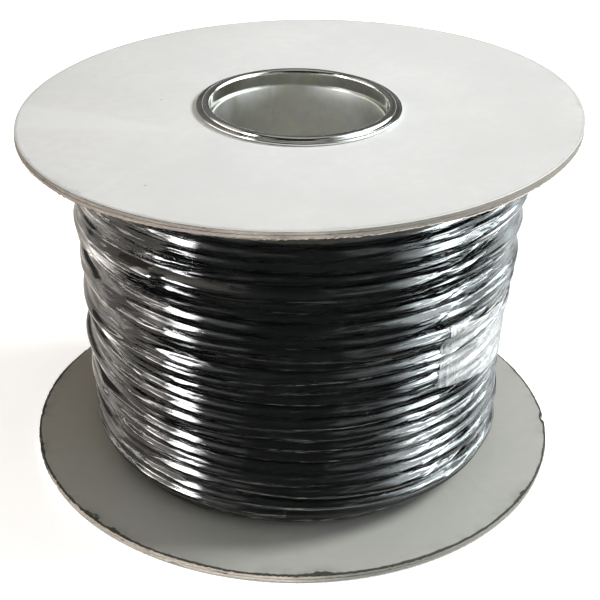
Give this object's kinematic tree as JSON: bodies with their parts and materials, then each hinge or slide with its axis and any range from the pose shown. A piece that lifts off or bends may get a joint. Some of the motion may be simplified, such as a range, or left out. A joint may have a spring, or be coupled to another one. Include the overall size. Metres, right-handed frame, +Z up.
{
  "type": "wire spool",
  "caption": "Round reel of black cable with paperboard flanges, a rolled tinplate core that a spindle passes through, and clear stretch film round the winding.",
  "frame": {"origin": "centre of the bottom rolled rim's standing plane, on the reel's axis", "axes": "+Z up along the reel's axis, +X to the right seen from the front, -Y towards the front, where the tape's cut end is on the right"},
  "size_m": [0.2, 0.2, 0.1378],
  "materials": {
    "white_liner": "smooth matte white face paper, slightly cool, with fine specks and scuffs",
    "greyboard": "raw die-cut greyboard edge, fibrous",
    "brownboard": "raw die-cut recycled board edge, pinkish brown, fibrous",
    "grey_liner": "plain warm grey board paper, matte, faint mottling",
    "tinplate": "bright rolled tinplate, glossy with fine handling marks",
    "barrel_board": "spiral-wound kraft board tube",
    "cable_sheath": "black PVC sheath with a soft sheen",
    "clear_film": "glossy clear stretch film, wrinkled, clinging over the cable ridges",
    "clear_tape": "clear packing tape, hazy and creased"
  },
  "bodies": {
    "root": {"top_face_liner": "white_liner", "top_outer_board": "greyboard", "top_inner_board": "brownboard", "top_inner_liner": "grey_liner", "bottom_face_liner": "white_liner", "bottom_outer_board": "greyboard", "bottom_inner_board": "brownboard", "bottom_inner_liner": "grey_liner", "top_rim": "tinplate", "bottom_rim": "tinplate", "core_tube": "tinplate", "barrel_tube": "barrel_board", "cable_winding": "cable_sheath", "film_lower_wrap": "clear_film", "film_upper_wrap": "clear_film", "closing_tape": "clear_tape"}
  },
  "joints": []
}
